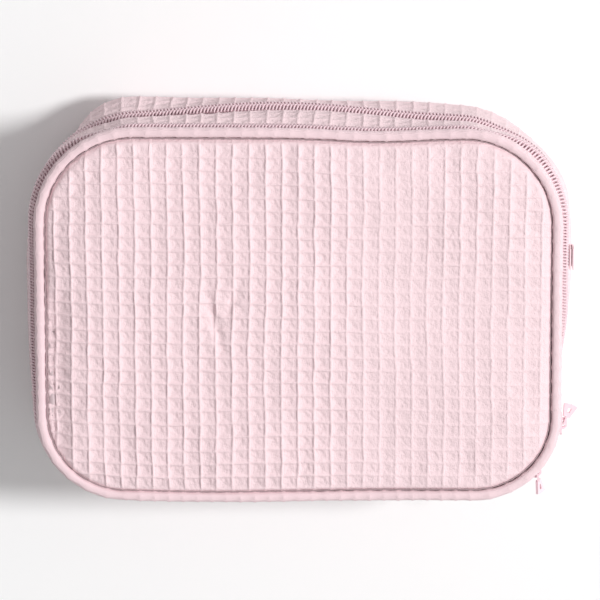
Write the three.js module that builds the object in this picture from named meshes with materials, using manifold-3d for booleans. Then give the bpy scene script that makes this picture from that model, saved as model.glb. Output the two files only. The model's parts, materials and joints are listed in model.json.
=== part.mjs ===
// A clamshell makeup bag in waffle-weave cotton, as an assembly of its sewn and metal pieces.
//
// Millimetres, +Z up. The bag lies on its back panel: X runs along its length, +Y towards the top
// edge of the front panel, and +Z out of the front panel. The origin is the middle of the back
// panel's outer face. Two coil zips run round three sides, and plain fabric strips along the
// fourth side, at -Y, are the hinges on which the middle section and the front cover open.
import * as THREE from "three";
import { mergeVertices } from "three/addons/utils/BufferGeometryUtils.js";
import Module from "manifold-3d";

const wasm = await Module();
wasm.setup();

// ---------------------------------------------------------------- driving dimensions

// The seam outline at the back half of the bag and at the front cover: rounded rectangles.
const REAR = { halfX: 130, halfY: 94, topRadius: 47, bottomRadius: 32 };
const FRONT = { halfX: 128.5, halfY: 92.5, topRadius: 47, bottomRadius: 41 };

const REAR_ZIP_Z = 46; // height of each zip's centre line
const FRONT_ZIP_Z = 75;
const BAG_TOP_Z = 85; // outer face of the front panel

const GAP = 0.3; // room kept between pieces that touch
const ARC_STEPS = 7; // segments in a full quarter turn of the outline
const SIDE_END = THREE.MathUtils.degToRad(60); // how far round the bottom corners the zips run

const WAFFLE = 1.6; // outer fabric
const FOAM = 2.4;
const LINING = 0.6;
const PIPING_RADIUS = 2.7;
const PIPING_SIDES = 10;
const BULGE = 1.2; // how far a gusset stands out half way up

const COIL_HALF = 2.2; // height of one side of the coil
const COIL_GAP = 1.4; // between the two sides, where the slider's bridge runs
const COIL_U = [-0.8, 0.8]; // coil, tape, fabric and lining, measured outwards from the outline
const TAPE_U = [-1.5, -1.1];
const FABRIC_U = [-0.8, -0.8 + WAFFLE];
const LINING_U = [-2.4, -1.8];
const TAPE_WIDTH = 8.5; // from the coil's edge to the edge hidden under the fabric

const SIDE_LOOP = { y: 19.5, width: 11, drop: 10.5, layer: 0.8, fold: 0.6 };

const SLIDER = { halfLength: 5.5, halfWidth: 3.2, outer: [1.7, 2.7], inner: [-3.2, -2.4] };
const PULL_AXIS_U = 3.65; // the pull's cross bar, measured outwards from the outline
const PULL_LENGTH = 11;
const REAR_SLIDER_Y = -64.5;
const FRONT_SLIDER_ANGLE = THREE.MathUtils.degToRad(-44);

// ---------------------------------------------------------------- materials

const fabricMaterial = (color) =>
  new THREE.MeshStandardMaterial({ color, roughness: 0.95, metalness: 0 });

const waffleCotton = fabricMaterial(0xf7d9de);
const plainCotton = fabricMaterial(0xf5d3d9);
const liningCloth = fabricMaterial(0xf3dcdf);
const foamSheet = fabricMaterial(0xf4f1ea);
const bindingTape = fabricMaterial(0xedc8cf);
const zipTape = fabricMaterial(0xf0c6cf);
const zipCoil = new THREE.MeshStandardMaterial({ color: 0xeec3cc, roughness: 0.45, metalness: 0 });
const paintedZinc = new THREE.MeshStandardMaterial({
  color: 0xf3c9d1,
  roughness: 0.35,
  metalness: 0.3,
});

// ---------------------------------------------------------------- outlines and sweeps

// Points along an outline, clockwise from above, each with the direction that faces outwards.
// A side run stops part way round the bottom corners, a bottom run joins its two ends, and a
// ring goes all the way round and meets itself at the middle of the bottom.
function stations(outline, run) {
  const { halfX, halfY, topRadius, bottomRadius } = outline;
  const bottom = { x: halfX - bottomRadius, y: bottomRadius - halfY, r: bottomRadius };
  const top = { x: halfX - topRadius, y: halfY - topRadius, r: topRadius };
  const quarter = Math.PI / 2;
  const list = [];
  const arc = (corner, side, from, to) => {
    const steps = Math.max(2, Math.round((ARC_STEPS * Math.abs(to - from)) / quarter));
    for (let i = 0; i <= steps; i++) {
      const angle = from + ((to - from) * i) / steps;
      const outward = new THREE.Vector3(Math.cos(angle), Math.sin(angle), 0);
      const centre = new THREE.Vector3(side * corner.x, corner.y, 0);
      list.push({ point: centre.addScaledVector(outward, corner.r), outward });
    }
  };
  const down = new THREE.Vector3(0, -1, 0);
  const middle = (x) => list.push({ point: new THREE.Vector3(x, -halfY, 0), outward: down });

  if (run === "bottom") {
    arc(bottom, 1, -SIDE_END, -quarter);
    arc(bottom, -1, -quarter, SIDE_END - 2 * quarter);
    return list;
  }
  const end = run === "ring" ? quarter : SIDE_END;
  if (run === "ring") middle(-GAP / 2);
  arc(bottom, -1, 2 * quarter + end, 2 * quarter);
  arc(top, -1, 2 * quarter, quarter);
  arc(top, 1, quarter, 0);
  arc(bottom, 1, 0, -end);
  if (run === "ring") middle(GAP / 2);
  return list;
}

// The path that a wall's section is swept along. The section's x is measured outwards and its y
// upwards from baseZ. Where a second outline is given, the wall leans so that it reaches that
// outline at topZ.
class WallPath extends THREE.Curve {
  constructor(low, baseZ = 0, high = low, topZ = baseZ + 1) {
    super();
    this.low = low;
    this.baseZ = baseZ;
    this.leans = low.map((station, i) =>
      high[i].point.clone().sub(station.point).divideScalar(topZ - baseZ).setZ(1),
    );
  }
  getSpacedPoints() {
    return this.low.map(({ point }) => point.clone().setZ(this.baseZ));
  }
  computeFrenetFrames() {
    const normals = this.low.map(({ outward }) => outward);
    const binormals = this.leans;
    const tangents = normals.map((n, i) => n.clone().cross(binormals[i]).normalize());
    return { tangents, normals, binormals };
  }
}

function sweep(path, section) {
  const shape = new THREE.Shape(section.map(([u, z]) => new THREE.Vector2(u, z)));
  const steps = path.low.length - 1;
  return new THREE.ExtrudeGeometry(shape, { extrudePath: path, steps });
}

// A wall's section between two heights, with its middle standing out by bulge.
function wallSection([inner, outer], z0, z1, bulge = 0) {
  const rows = bulge ? 4 : 1;
  const side = (u) =>
    Array.from({ length: rows + 1 }, (_, i) => [
      u + bulge * Math.sin((Math.PI * i) / rows),
      z0 + ((z1 - z0) * i) / rows,
    ]);
  return [...side(outer), ...side(inner).reverse()];
}

function roundSection(radius, u, z) {
  return Array.from({ length: PIPING_SIDES }, (_, i) => {
    const angle = (2 * Math.PI * i) / PIPING_SIDES;
    return [u + radius * Math.cos(angle), z + radius * Math.sin(angle)];
  });
}

function panel(outline, inset, z0, thickness) {
  const shape = new THREE.Shape(
    stations(outline, "ring").map(({ point, outward }) => {
      const p = point.clone().addScaledVector(outward, -inset);
      return new THREE.Vector2(p.x, p.y);
    }),
  );
  const geometry = new THREE.ExtrudeGeometry(shape, { depth: thickness, bevelEnabled: false });
  return geometry.translate(0, 0, z0);
}

// ---------------------------------------------------------------- joining and cutting

function solidOf(geometry) {
  const bare = geometry.clone().deleteAttribute("normal").deleteAttribute("uv");
  const merged = mergeVertices(bare, 1e-4);
  return new wasm.Manifold(
    new wasm.Mesh({
      numProp: 3,
      vertProperties: merged.attributes.position.array,
      triVerts: new Uint32Array(merged.index.array),
    }),
  );
}

function geometryOf(solid) {
  const { vertProperties, triVerts } = solid.getMesh();
  return new THREE.BufferGeometry()
    .setAttribute("position", new THREE.BufferAttribute(vertProperties, 3))
    .setIndex(new THREE.BufferAttribute(triVerts, 1));
}

const join = (...geometries) =>
  geometryOf(geometries.map(solidOf).reduce((whole, piece) => whole.add(piece)));

function boxBetween([x0, x1], [y0, y1], [z0, z1]) {
  const box = new THREE.BoxGeometry(x1 - x0, y1 - y0, z1 - z0);
  return box.translate((x0 + x1) / 2, (y0 + y1) / 2, (z0 + z1) / 2);
}

// ---------------------------------------------------------------- the assembly

const bag = new THREE.Group();

function add(name, geometry, material, parent = bag) {
  const mesh = new THREE.Mesh(geometry, material);
  mesh.name = name;
  parent.add(mesh);
  return mesh;
}

const rearSides = () => new WallPath(stations(REAR, "sides"));
const rearBottom = () => new WallPath(stations(REAR, "bottom"));
const rearRing = () => new WallPath(stations(REAR, "ring"));
const frontSides = () => new WallPath(stations(FRONT, "sides"));
const frontRing = () => new WallPath(stations(FRONT, "ring"));

// Walls between the zips lean from the rear outline to the front one.
function leaningPath(run) {
  const low = stations(REAR, run);
  return new WallPath(low, REAR_ZIP_Z, stations(FRONT, run), FRONT_ZIP_Z);
}

// A zip's coil and tape below and above its centre line.
const coilSpan = (side) => {
  const near = COIL_GAP / 2;
  const far = near + COIL_HALF;
  return side < 0 ? [-far, -near] : [near, far];
};
const tapeSpan = (side) => {
  const near = COIL_GAP / 2;
  const far = near + TAPE_WIDTH;
  return side < 0 ? [-far, -near] : [near, far];
};

// Each gusset's fabric stops where the coil begins.
const fabricEdge = COIL_GAP / 2 + COIL_HALF + GAP;
const liningEdge = 3.6;

// ---- rear shell: back panel, rear gusset, lower half of the rear zip

const panelInset = 3.9;
const bindingSection = (z) => wallSection([-5.6, -3.2], z, z + 1.9);

function addRearShell() {
  const gussetBase = 5.9;
  const foamZ = WAFFLE + GAP;
  const liningZ = foamZ + FOAM + GAP;
  add("back_panel", panel(REAR, panelInset, 0, WAFFLE), waffleCotton);
  add("back_foam", panel(REAR, panelInset + 0.5, foamZ, FOAM), foamSheet);
  add("back_lining", panel(REAR, panelInset, liningZ, LINING), liningCloth);
  add("back_piping", sweep(rearRing(), roundSection(PIPING_RADIUS, 0, 2.9)), plainCotton);
  add("back_seam_binding", sweep(rearRing(), bindingSection(liningZ + LINING + GAP)), bindingTape);

  const gussetTop = REAR_ZIP_Z - fabricEdge;
  const gusset = wallSection(FABRIC_U, gussetBase, gussetTop, BULGE);
  add("rear_gusset", sweep(rearSides(), gusset), waffleCotton);
  const bottom = wallSection(FABRIC_U, gussetBase, REAR_ZIP_Z - GAP, BULGE);
  add("rear_bottom_gusset", sweep(rearBottom(), bottom), waffleCotton);
  const lining = wallSection(LINING_U, gussetBase, REAR_ZIP_Z - liningEdge);
  add("rear_gusset_lining", sweep(rearRing(), lining), liningCloth);

  const [coilLow, coilHigh] = coilSpan(-1).map((z) => REAR_ZIP_Z + z);
  const [tapeLow, tapeHigh] = tapeSpan(-1).map((z) => REAR_ZIP_Z + z);
  add("rear_zip_lower_coil", sweep(rearSides(), wallSection(COIL_U, coilLow, coilHigh)), zipCoil);
  add("rear_zip_lower_tape", sweep(rearSides(), wallSection(TAPE_U, tapeLow, tapeHigh)), zipTape);
}

// ---- side loop: a short strip folded double and caught in the seam under the rear zip

function addSideLoop() {
  const { y, width, drop, layer, fold } = SIDE_LOOP;
  const inner = REAR.halfX + FABRIC_U[1] + BULGE + GAP;
  const outer = inner + 2 * layer + fold;
  const top = REAR_ZIP_Z - fabricEdge - GAP - 0.6;
  const bottom = top - drop;
  const strip = boxBetween([inner, outer], [y - width / 2, y + width / 2], [bottom, top]);
  const inside = boxBetween(
    [inner + layer, outer - layer],
    [y - width, y + width],
    [bottom + layer, top + layer],
  );
  add("side_loop", geometryOf(solidOf(strip).subtract(solidOf(inside))), plainCotton);
}

// ---- middle section: upper half of the rear zip, middle gusset, divider, lower half of the
// front zip

const DIVIDER_Z = 50;

function addMiddleSection() {
  const rise = FRONT_ZIP_Z - REAR_ZIP_Z;
  const gusset = wallSection(FABRIC_U, fabricEdge, rise - fabricEdge, BULGE);
  add("middle_gusset", sweep(leaningPath("sides"), gusset), waffleCotton);
  const bottom = wallSection(FABRIC_U, GAP, rise - GAP, BULGE);
  add("middle_bottom_gusset", sweep(leaningPath("bottom"), bottom), waffleCotton);
  const lining = wallSection(LINING_U, liningEdge, rise - liningEdge);
  add("middle_gusset_lining", sweep(leaningPath("ring"), lining), liningCloth);

  const halves = [
    ["rear_zip_upper", 1, 0],
    ["front_zip_lower", -1, rise],
  ];
  for (const [zip, side, height] of halves) {
    const coil = wallSection(COIL_U, ...coilSpan(side).map((z) => height + z));
    const tape = wallSection(TAPE_U, ...tapeSpan(side).map((z) => height + z));
    add(zip + "_coil", sweep(leaningPath("sides"), coil), zipCoil);
    add(zip + "_tape", sweep(leaningPath("sides"), tape), zipTape);
  }

  const board = 1.2;
  const dividerInset = 4.4;
  const layers = [
    ["divider_rear_lining", LINING, liningCloth],
    ["divider_board", board, foamSheet],
    ["divider_front_lining", LINING, liningCloth],
  ];
  let z = DIVIDER_Z;
  for (const [name, thickness, material] of layers) {
    add(name, panel(REAR, dividerInset, z, thickness), material);
    z += thickness + GAP;
  }
  const binding = wallSection([-6.6, -4.2], z - REAR_ZIP_Z, z - REAR_ZIP_Z + 1.9);
  add("divider_seam_binding", sweep(leaningPath("ring"), binding), bindingTape);
}

// ---- front cover: upper half of the front zip, piping and the padded front panel

function addFrontCover() {
  const panelZ = BAG_TOP_Z - WAFFLE;
  const foamZ = panelZ - GAP - FOAM;
  const liningZ = foamZ - GAP - LINING;
  const pipingZ = FRONT_ZIP_Z + COIL_GAP / 2 + COIL_HALF + GAP + PIPING_RADIUS;
  add("front_panel", panel(FRONT, panelInset, panelZ, WAFFLE), waffleCotton);
  add("front_foam", panel(FRONT, panelInset + 0.5, foamZ, FOAM), foamSheet);
  add("front_lining", panel(FRONT, panelInset, liningZ, LINING), liningCloth);
  add("front_piping", sweep(frontRing(), roundSection(PIPING_RADIUS, 0, pipingZ)), plainCotton);
  const binding = wallSection([-6.6, -4.2], liningZ - GAP - 1.9, liningZ - GAP);
  add("front_seam_binding", sweep(frontRing(), binding), bindingTape);

  const [coilLow, coilHigh] = coilSpan(1).map((z) => FRONT_ZIP_Z + z);
  add("front_zip_upper_coil", sweep(frontSides(), wallSection(COIL_U, coilLow, coilHigh)), zipCoil);
  // The upper tape steps in behind the piping, where it is caught in the panel's seam.
  const [tapeInner, tapeOuter] = TAPE_U;
  const [seamInner, seamOuter] = [-3.5, -3.1];
  const tape = [
    [tapeOuter, coilLow],
    [tapeOuter, coilHigh - 0.3],
    [seamOuter, coilHigh + 0.5],
    [seamOuter, pipingZ],
    [seamInner, pipingZ],
    [seamInner, coilHigh + 0.2],
    [tapeInner, coilHigh - 0.6],
    [tapeInner, coilLow],
  ];
  add("front_zip_upper_tape", sweep(frontSides(), tape), zipTape);
}

// ---- sliders and pulls. In a slider's own frame x is outwards, y along the zip, z across it.

function plate([x0, x1], y0, y1, halfWidth) {
  const cut = 1.2;
  const shape = new THREE.Shape();
  shape.moveTo(-halfWidth, y0 + cut);
  shape.lineTo(cut - halfWidth, y0);
  shape.lineTo(halfWidth - cut, y0);
  shape.lineTo(halfWidth, y0 + cut);
  shape.lineTo(halfWidth, y1 - cut);
  shape.lineTo(halfWidth - cut, y1);
  shape.lineTo(cut - halfWidth, y1);
  shape.lineTo(-halfWidth, y1 - cut);
  const geometry = new THREE.ExtrudeGeometry(shape, { depth: x1 - x0, bevelEnabled: false });
  return geometry.rotateY(Math.PI / 2).translate(x0, 0, 0);
}

// The arch on the slider's outer plate that holds the pull.
function arch() {
  const foot = 2.9;
  const low = SLIDER.outer[1] - 0.3;
  const high = 5.2;
  const shape = new THREE.Shape();
  shape.moveTo(low, -foot);
  shape.lineTo(high - 1.4, -foot);
  shape.lineTo(high, 1.4 - foot);
  shape.lineTo(high, foot - 1.4);
  shape.lineTo(high - 1.4, foot);
  shape.lineTo(low, foot);
  const hole = new THREE.Path();
  hole.moveTo(2.95, -1.9);
  hole.lineTo(2.95, 1.9);
  hole.lineTo(4.4, 1.3);
  hole.lineTo(4.4, -1.3);
  shape.holes.push(hole);
  const thickness = 1.8;
  const geometry = new THREE.ExtrudeGeometry(shape, { depth: thickness, bevelEnabled: false });
  return geometry.translate(0, 0, -thickness / 2);
}

function sliderBody() {
  const { halfLength, halfWidth, outer, inner } = SLIDER;
  const bridge = boxBetween([inner[1] - 0.2, outer[0] + 0.2], [1, 4.5], [-0.4, 0.4]);
  return join(
    plate(outer, -halfLength, halfLength, halfWidth),
    plate(inner, -3, halfLength, 2),
    bridge,
    arch(),
  );
}

// A pull in its own frame: x along its length, z along its cross bar. Its flared tab is tilted
// about its length, as a loose pull lies.
function pull(tilt) {
  const bar = new THREE.CylinderGeometry(0.5, 0.5, 4.4, 8).rotateX(Math.PI / 2);
  const arms = [-1, 1].map((side) => {
    const z = [1.4 * side, 2.2 * side].sort((a, b) => a - b);
    return boxBetween([-0.35, 3.6], [-0.4, 0.4], z);
  });
  const yoke = boxBetween([2.9, 4.0], [-0.5, 0.5], [-2.2, 2.2]);

  const neck = 1.7;
  const flare = 3.7;
  const tab = new THREE.Shape();
  tab.moveTo(3.5, -neck);
  tab.lineTo(PULL_LENGTH - 1, -flare);
  tab.quadraticCurveTo(PULL_LENGTH, 0, PULL_LENGTH - 1, flare);
  tab.lineTo(3.5, neck);
  const slot = new THREE.Path();
  slot.moveTo(6, -0.7);
  slot.lineTo(6, 0.7);
  slot.lineTo(8.4, 1);
  slot.lineTo(8.4, -1);
  tab.holes.push(slot);
  const thickness = 1.3;
  const options = { depth: thickness, bevelEnabled: false, curveSegments: 5 };
  const face = new THREE.ExtrudeGeometry(tab, options);
  face.translate(0, 0, -thickness / 2).rotateX(tilt);
  return join(bar, ...arms, yoke, face);
}

function addSlider(name, { x, y, z, turn }, pullTurn, pullTilt) {
  const slider = new THREE.Group();
  slider.position.set(x, y, z);
  slider.rotation.z = turn;
  bag.add(slider);
  add(name + "_slider_body", sliderBody(), paintedZinc, slider);
  const holder = new THREE.Group();
  holder.position.x = PULL_AXIS_U;
  holder.rotation.z = pullTurn;
  slider.add(holder);
  add(name + "_pull_tab", pull(pullTilt), paintedZinc, holder);
}

function addSliders() {
  const degrees = THREE.MathUtils.degToRad;
  const rear = { x: REAR.halfX, y: REAR_SLIDER_Y, z: REAR_ZIP_Z, turn: 0 };
  addSlider("rear", rear, degrees(70), degrees(14));
  const corner = FRONT.bottomRadius;
  const front = {
    x: FRONT.halfX - corner + corner * Math.cos(FRONT_SLIDER_ANGLE),
    y: corner - FRONT.halfY + corner * Math.sin(FRONT_SLIDER_ANGLE),
    z: FRONT_ZIP_Z,
    turn: FRONT_SLIDER_ANGLE,
  };
  addSlider("front", front, degrees(-36), degrees(-62));
}

addRearShell();
addSideLoop();
addMiddleSection();
addFrontCover();
addSliders();

export default bag;
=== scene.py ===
"""The looks of a waffle-weave clamshell makeup bag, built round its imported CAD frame.

Lengths below are in millimetres and are turned into metres as each mesh is made. The bag lies on
its back panel, with its fabric hinges at -Y and its front panel facing up.
"""

import json
import math

import bpy
import numpy as np
from mathutils import Matrix, Vector


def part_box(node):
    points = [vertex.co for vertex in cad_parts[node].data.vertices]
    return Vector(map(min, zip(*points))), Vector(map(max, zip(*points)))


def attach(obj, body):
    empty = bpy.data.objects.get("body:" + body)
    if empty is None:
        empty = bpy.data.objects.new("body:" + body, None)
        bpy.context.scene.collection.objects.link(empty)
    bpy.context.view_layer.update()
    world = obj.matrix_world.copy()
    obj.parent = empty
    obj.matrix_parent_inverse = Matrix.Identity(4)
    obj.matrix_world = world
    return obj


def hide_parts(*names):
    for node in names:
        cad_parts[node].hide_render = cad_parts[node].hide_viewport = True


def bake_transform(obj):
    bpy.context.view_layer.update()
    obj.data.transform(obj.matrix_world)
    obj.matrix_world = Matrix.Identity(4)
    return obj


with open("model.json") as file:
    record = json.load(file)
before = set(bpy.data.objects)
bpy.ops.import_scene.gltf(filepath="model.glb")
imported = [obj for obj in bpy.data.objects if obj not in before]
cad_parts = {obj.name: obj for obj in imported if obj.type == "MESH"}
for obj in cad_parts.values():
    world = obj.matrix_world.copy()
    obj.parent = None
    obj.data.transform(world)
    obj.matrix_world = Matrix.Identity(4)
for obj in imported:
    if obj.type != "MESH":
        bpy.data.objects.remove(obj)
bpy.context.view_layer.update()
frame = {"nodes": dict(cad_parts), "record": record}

MM = 0.001


def node_box(name):
    """A CAD node's lowest and highest corners, in millimetres."""
    low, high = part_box(name)
    return np.array(low) / MM, np.array(high) / MM


def middle_height(name):
    """The height of a CAD node's middle."""
    low, high = node_box(name)
    return (low[2] + high[2]) / 2


def zip_height(name):
    """The height at which the two CAD coils of a zip meet."""
    return (node_box(name + "_lower_coil")[1][2] + node_box(name + "_upper_coil")[0][2]) / 2


# ---------------------------------------------------------------- sizes, from the frame

PIPING_RADIUS = 2.7
COIL_U = 0.8  # the CAD coils stand this far out from the seam outline
PIPING_CORNER = node_box("front_piping")[1]
COIL_CORNER = node_box("rear_zip_lower_coil")[1]

# The seam outlines are rounded rectangles, with one radius for the two upper corners of the bag
# and one for the two lower ones.
FRONT = dict(
    half_x=PIPING_CORNER[0] - PIPING_RADIUS,
    half_y=PIPING_CORNER[1] - PIPING_RADIUS,
    top=47.0,
    bottom=41.0,
)
REAR = dict(
    half_x=COIL_CORNER[0] - COIL_U,
    half_y=COIL_CORNER[1] - COIL_U,
    top=47.0,
    bottom=32.0,
)
PIPING_Z = middle_height("front_piping")
BACK_PIPING_Z = middle_height("back_piping")
REAR_ZIP_Z = zip_height("rear_zip")
FRONT_ZIP_Z = zip_height("front_zip")
PANEL_TOP = node_box("front_panel")[1][2]

CELL_X = 8.05  # the size of the waffle's cells
CELL_Y = 6.75
DEEPEST_A = 0.56  # where in a cell its deepest point is
DEEPEST_B = 0.55
# Where a cell's mesh points lie, closer together where it is steep.
ACROSS_CELL = (0, 0.05, 0.11, 0.22, 0.34, 0.44, 0.51, 0.58, 0.65, 0.72, 0.82, 0.89, 0.95)
UP_CELL = (0, 0.06, 0.15, 0.28, 0.41, 0.54, 0.67, 0.81, 0.91)
RELIEF = 1.4  # from the weave's ridges to the bottom of its cells
CLOTH_THICKNESS = 1.2
COIL_PITCH = 1.72  # from tooth to tooth
CHAIN_HALF = 2.9  # half the width of a closed zip's chain
TAPE_WIDTH = 8.0  # from the zip's centre line to the tape's outer edge
NARROW_TAPE_WIDTH = 4.5  # the same, where the front piping leaves less room
FABRIC_EDGE = 3.2  # the folded edge of a gusset, from the zip's centre line
FOLD = 2.2  # how much of a gusset's edge rolls under
SEAM_Z = 4.2  # where the walls leave the back seam
HINGE_SPLIT_Z = 8.65 * CELL_Y  # where the two bottom strips meet, on a ridge of the weave
HINGE_OVERLAP = 1.5  # how far the bottom strips run past the zips' ends
LINING_EDGE = 4.2  # the wall linings' edge, from a zip's centre line
WALL_LINING_U = -3.2  # the wall linings, measured outwards from the seam outline
PANEL_LINING_U = -4.3  # the flat linings end inside the wall linings
LINING_THICKNESS = 0.5
DIVIDER_THICKNESS = 1.0
SIDE_END = math.radians(60)  # how far round the bottom corners the zips run


# ---------------------------------------------------------------- the seam outline


def corner_centres(outline):
    """Centres of the four corner arcs, clockwise from the bottom left."""
    x_low = outline["half_x"] - outline["bottom"]
    y_low = outline["bottom"] - outline["half_y"]
    x_top = outline["half_x"] - outline["top"]
    y_top = outline["half_y"] - outline["top"]
    return [(-x_low, y_low), (-x_top, y_top), (x_top, y_top), (x_low, y_low)]


def segment_lengths(outline):
    """The outline's straights and arcs, clockwise from the middle of the bottom."""
    (x_low, y_low), (x_top, y_top) = (np.abs(c) for c in corner_centres(outline)[:2])
    quarter = math.pi / 2
    half = [x_low, outline["bottom"] * quarter, y_low + y_top, outline["top"] * quarter, x_top]
    return np.array(half[:4] + [2 * half[4]] + half[3::-1])


BREAKS = np.concatenate([[0], np.cumsum(segment_lengths(REAR))])
AROUND = BREAKS[-1]
SIDE_START = BREAKS[1] + (1 - SIDE_END / (math.pi / 2)) * (BREAKS[2] - BREAKS[1])
SIDE_STOP = AROUND - SIDE_START


def on_outline(outline, t):
    """Points and outward directions at distances t round the bag, clockwise from the middle of
    the bottom, measured along the rear outline."""
    t = np.mod(np.asarray(t, float), AROUND)
    k = np.clip(np.searchsorted(BREAKS, t, side="right") - 1, 0, 8)
    f = (t - BREAKS[k]) / (BREAKS[k + 1] - BREAKS[k])
    hx, hy = outline["half_x"], outline["half_y"]
    c = corner_centres(outline)
    radii = [outline["bottom"], outline["top"], outline["top"], outline["bottom"]]
    starts = [math.pi * 1.5, math.pi, math.pi / 2, 0.0]
    straights = {
        0: ((0, -hy), (c[0][0], -hy), (0, -1)),
        2: ((-hx, c[0][1]), (-hx, c[1][1]), (-1, 0)),
        4: ((c[1][0], hy), (c[2][0], hy), (0, 1)),
        6: ((hx, c[2][1]), (hx, c[3][1]), (1, 0)),
        8: ((c[3][0], -hy), (0, -hy), (0, -1)),
    }
    point = np.zeros(t.shape + (2,))
    outward = np.zeros(t.shape + (2,))
    for i in range(9):
        here = k == i
        g = f[here][:, None]
        if i in straights:
            a, b, n = (np.array(v, float) for v in straights[i])
            point[here] = a + (b - a) * g
            outward[here] = n
        else:
            j = i // 2
            angle = starts[j] - g * math.pi / 2
            n = np.concatenate([np.cos(angle), np.sin(angle)], axis=1)
            point[here] = np.array(c[j]) + radii[j] * n
            outward[here] = n
    return point, outward


def smooth(x, low, high):
    """A smooth step from 0 at low to 1 at high."""
    s = np.clip((np.asarray(x, float) - low) / (high - low), 0, 1)
    return s * s * (3 - 2 * s)


def hump(x, centre, width):
    """A bell that is 1 at centre and falls off over width."""
    return np.exp(-(((np.asarray(x, float) - centre) / width) ** 2))


def ripple(x, y, size, seed):
    """Smooth unevenness between about -1 and 1, with bumps about size across."""
    rng = np.random.default_rng(seed)
    total = 0.0
    for _ in range(7):
        turn, phase = rng.uniform(0, 2 * math.pi, 2)
        length = size * rng.uniform(0.7, 2.2)
        across = np.asarray(x) * math.cos(turn) + np.asarray(y) * math.sin(turn)
        total = total + np.sin(2 * math.pi * across / length + phase)
    return total / 3.5


# The upper corners are pinched in: where, by distance round the bag, how far and how widely.
PINCHES = (
    ((BREAKS[3] + BREAKS[4]) / 2 - 14, 10.4, 24),
    ((BREAKS[5] + BREAKS[6]) / 2 + 12, 3.8, 32),
)


# How far the soft walls stand out from the outline at each height, by where they are round the
# bag. All three take the place on the outline, x and y, and its outward direction, nx and ny.


def lower_swell(x, y, nx, ny):
    """The stuffed lower part of the walls."""
    side = np.where(nx < 0, 5.4 + 1.8 * smooth(y, -75, 5), 7.0 * smooth(y, -62, 8))
    top = 3.9 - 1.4 * smooth(x, -60, 10) - 2.6 * smooth(x, 35, 95)
    return nx**4 * side + np.clip(ny, 0, 1) ** 2 * top


def rear_zip_swell(x, y, nx, ny):
    """The rear zip arches up in the middle of the top and is drawn in at the upper corners."""
    left = (1.8 + 4.2 * smooth(y, -85, 5)) * (1 - 0.8 * smooth(y, 16, 56))
    side = np.where(nx < 0, left, 0.7 * smooth(y, -50, 0))
    arch = 7.0 * hump(x, -10, 60) - 2.2 - 2.8 * hump(x, 105, 15)
    return nx**6 * side + np.clip(ny, 0, 1) ** 2 * arch


def front_zip_swell(x, y, nx, ny):
    """The front zip is pushed out beside the piping, except near its slider."""
    fade = np.where(nx < 0, 0.5 + 0.5 * smooth(y, -85, -10), smooth(y, -45, 0))
    turned = smooth(np.abs(nx), 0.35, 0.75)
    top = 1.8 - 1.3 * hump(np.abs(nx), 0.25, 0.15)
    return 4.2 * turned * fade + np.clip(ny, 0, 1) * top * (1 - turned)


def wall_swell(t, z):
    """How far the walls stand out at distance t round the bag and height z."""
    point, outward = on_outline(REAR, t)
    place = (point[..., 0], point[..., 1], outward[..., 0], outward[..., 1])
    lower = lower_swell(*place) - sum(depth * hump(t, at, width) for at, depth, width in PINCHES)
    rear = rear_zip_swell(*place)
    front = front_zip_swell(*place)
    middle = (rear + front) / 2 + 0.6
    heights = [3.0, 25.0, REAR_ZIP_Z, (REAR_ZIP_Z + FRONT_ZIP_Z) / 2, FRONT_ZIP_Z, PIPING_Z - 1]
    swells = [0 * lower, lower, rear, middle, front, 0 * lower]
    total = swells[0]
    for k in range(1, len(heights)):
        total = total + (swells[k] - swells[k - 1]) * smooth(z, heights[k - 1], heights[k])
    # Along the top the rear zip leans back, so that its teeth show from above.
    lean = -0.42 * np.clip(outward[..., 1], 0, 1) * (z - REAR_ZIP_Z) * hump(z, REAR_ZIP_Z, 6)
    lumps = 0.45 * ripple(t, z * 1.6, 46, 3) * hump(z, 35, 26)
    return total + lean + lumps


def settle(points):
    """Moves points as the soft bag sags: the front hangs down a little along the bottom and in the
    middle of the top, and the back is tucked under at the top."""
    x, y, z = points[..., 0], points[..., 1], points[..., 2]
    low = -1.9 * hump(x, -45, 62) * smooth(-y, 35, 90)
    top = -1.6 * hump(x, 38, 28) * smooth(y, 35, 90)
    tucked = 1 - smooth(z, 4, 24)
    moved = points.copy()
    in_y = (5.4 + 2.4 * hump(x, 92, 26)) * smooth(y, 25, 92)
    moved[..., 1] += (low + top) * smooth(z, 50, 74) - in_y * tucked
    moved[..., 0] -= np.sign(x) * 5.0 * smooth(np.abs(x), 70, 122) * smooth(y, 15, 80) * tucked
    return moved


def wall_point(t, z, u):
    """A point of the wall at distance t round the bag and height z, u outwards from the seam
    outline, which changes from the rear one to the front one between the zips."""
    t, z, u = np.broadcast_arrays(*(np.asarray(v, float) for v in (t, z, u)))
    a, n = on_outline(REAR, t)
    b, _ = on_outline(FRONT, t)
    k = np.clip((z - REAR_ZIP_Z) / (FRONT_ZIP_Z - REAR_ZIP_Z), 0, 1)[..., None]
    xy = a + (b - a) * k + n * (u + wall_swell(t, z))[..., None]
    return settle(np.concatenate([xy, z[..., None]], axis=-1))


# ---------------------------------------------------------------- meshes


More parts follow.
